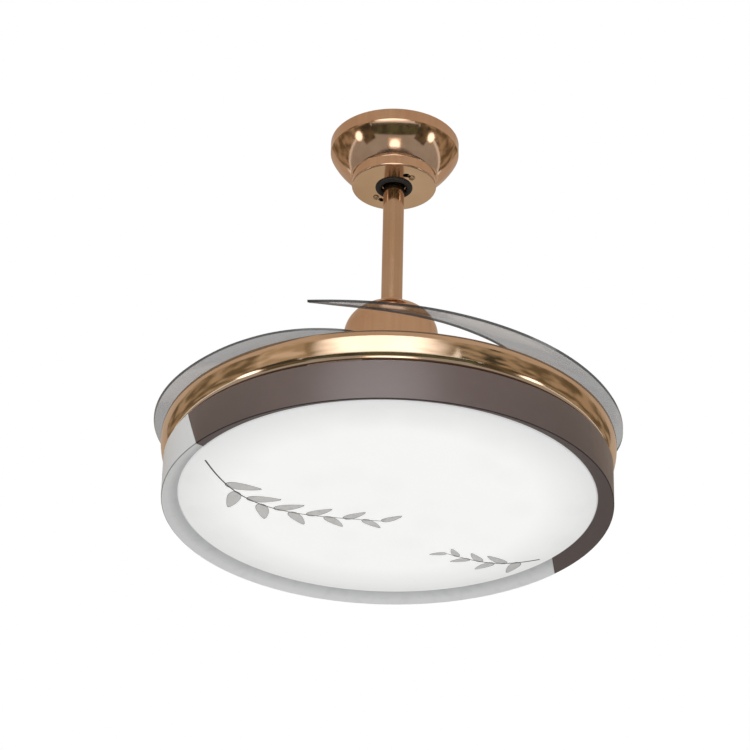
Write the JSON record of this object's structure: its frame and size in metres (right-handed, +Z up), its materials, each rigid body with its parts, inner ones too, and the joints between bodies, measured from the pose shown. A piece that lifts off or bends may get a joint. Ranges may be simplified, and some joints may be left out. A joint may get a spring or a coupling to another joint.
{
  "type": "ceiling fan",
  "caption": "Ceiling fan on a short rod: clear curved blades fold over a polished tray and swing out as it turns, above a round opal lamp in a two-tone ring.",
  "frame": {"origin": "middle of the top face of the ceiling plate, where the bracket meets the ceiling", "axes": "+Z up into the ceiling, along the fan's axis; +X along the line of the two ceiling bolts; -Y towards the side nearest the camera in the picture"},
  "size_m": [0.4717, 0.4739, 0.4347],
  "materials": {
    "rose_gold": "polished rose gold plate",
    "gold_tray": "polished gold plate",
    "zinc_steel": "zinc plated",
    "spring_steel": "oiled spring wire",
    "bearing_steel": "ground",
    "core_steel": "laminated",
    "copper": "enamelled copper wire",
    "magnet": "ferrite",
    "motor_cast": "die cast",
    "black_rubber": "soft black",
    "black_plastic": "moulded nylon",
    "gear_plastic": "moulded acetal",
    "bush_bronze": "sintered",
    "white_plastic": "moulded",
    "white_steel": "white powder coat",
    "led_board_white": "white mask",
    "lens_clear": "clear",
    "taupe_paint": "satin taupe",
    "white_paint": "satin white",
    "opal": "opal acrylic",
    "smoke_acrylic": "smoke tinted clear acrylic"
  },
  "bodies": {
    "mount_unit": {"ceiling_bracket": "zinc_steel", "canopy": "rose_gold", "canopy_screws": "zinc_steel", "rod_grommet": "black_rubber", "terminal_block": "white_plastic"},
    "hanger_unit": {"hanger_ball": "black_plastic", "ball_pin": "zinc_steel", "downrod": "rose_gold", "rod_cup": "rose_gold", "cup_grub_screw": "zinc_steel", "rod_coupling": "zinc_steel", "clevis_pin": "zinc_steel", "clevis_clip": "zinc_steel", "coupling_screws": "zinc_steel", "motor_shaft": "bearing_steel", "stator_core": "core_steel", "stator_windings": "copper", "upper_bearing_inner": "bearing_steel", "lower_bearing_inner": "bearing_steel", "lamp_chassis": "white_steel", "lamp_plate": "zinc_steel", "shaft_nut": "zinc_steel", "chassis_screws": "zinc_steel", "led_board": "led_board_white", "led_lenses": "lens_clear", "led_driver": "white_plastic", "fan_controller": "white_plastic"},
    "rotor_unit": {"motor_lower_shell": "motor_cast", "motor_upper_shell": "motor_cast", "motor_screws": "zinc_steel", "rotor_ring": "bearing_steel", "rotor_magnets": "magnet", "upper_bearing_outer": "bearing_steel", "lower_bearing_outer": "bearing_steel", "blade_tray": "gold_tray", "tray_screws": "zinc_steel", "pivot_posts": "zinc_steel", "pivot_clips": "zinc_steel", "return_springs": "spring_steel"},
    "sync_unit": {"sync_gear": "gear_plastic"},
    "blade_unit_1": {"blade_1": "smoke_acrylic", "blade_gear_1": "gear_plastic", "blade_carrier_1": "black_plastic", "blade_bush_1": "bush_bronze", "blade_screws_1": "zinc_steel"},
    "blade_unit_2": {"blade_2": "smoke_acrylic", "blade_gear_2": "gear_plastic", "blade_carrier_2": "black_plastic", "blade_bush_2": "bush_bronze", "blade_screws_2": "zinc_steel"},
    "blade_unit_3": {"blade_3": "smoke_acrylic", "blade_gear_3": "gear_plastic", "blade_carrier_3": "black_plastic", "blade_bush_3": "bush_bronze", "blade_screws_3": "zinc_steel"},
    "shade_unit": {"trim_ring_dark": "taupe_paint", "trim_ring_light": "white_paint", "trim_joint_plates": "zinc_steel", "diffuser": "opal"}
  },
  "joints": [
    {"name": "hanger_swing", "type": "hinge", "parent": "mount_unit", "child": "hanger_unit", "pos_m": [0, 0, -0.035], "axis": [1, 0, 0], "range_deg": [-5, 5]},
    {"name": "rotor_spin", "type": "hinge", "parent": "hanger_unit", "child": "rotor_unit", "pos_m": [0, 0, -0.37], "axis": [0, 0, 1], "continuous": true},
    {"name": "sync_turn", "type": "hinge", "parent": "rotor_unit", "child": "sync_unit", "pos_m": [0, 0, -0.382], "axis": [0, 0, 1], "range_deg": [-23, 0]},
    {"name": "blade_1_swing", "type": "hinge", "parent": "rotor_unit", "child": "blade_unit_1", "pos_m": [0.17981, 0.04818, -0.37], "axis": [0, 0, 1], "range_deg": [0, 118], "stiffness_Nm_per_rad": 0.15, "springref_deg": -28.65},
    {"name": "blade_2_swing", "type": "hinge", "parent": "rotor_unit", "child": "blade_unit_2", "pos_m": [-0.13163, 0.13163, -0.37], "axis": [0, 0, 1], "range_deg": [0, 118], "stiffness_Nm_per_rad": 0.15, "springref_deg": -28.65},
    {"name": "blade_3_swing", "type": "hinge", "parent": "rotor_unit", "child": "blade_unit_3", "pos_m": [-0.04818, -0.17981, -0.37], "axis": [0, 0, 1], "range_deg": [0, 118], "stiffness_Nm_per_rad": 0.15, "springref_deg": -28.65},
    {"name": "shade_twist", "type": "hinge", "parent": "hanger_unit", "child": "shade_unit", "pos_m": [0, 0, -0.4], "axis": [0, 0, 1], "range_deg": [0, 14]}
  ],
  "couplings": [
    {"joint": "blade_2_swing", "follows": "blade_1_swing", "ratio": 1},
    {"joint": "blade_3_swing", "follows": "blade_1_swing", "ratio": 1},
    {"joint": "sync_turn", "follows": "blade_1_swing", "ratio": -0.19231}
  ]
}
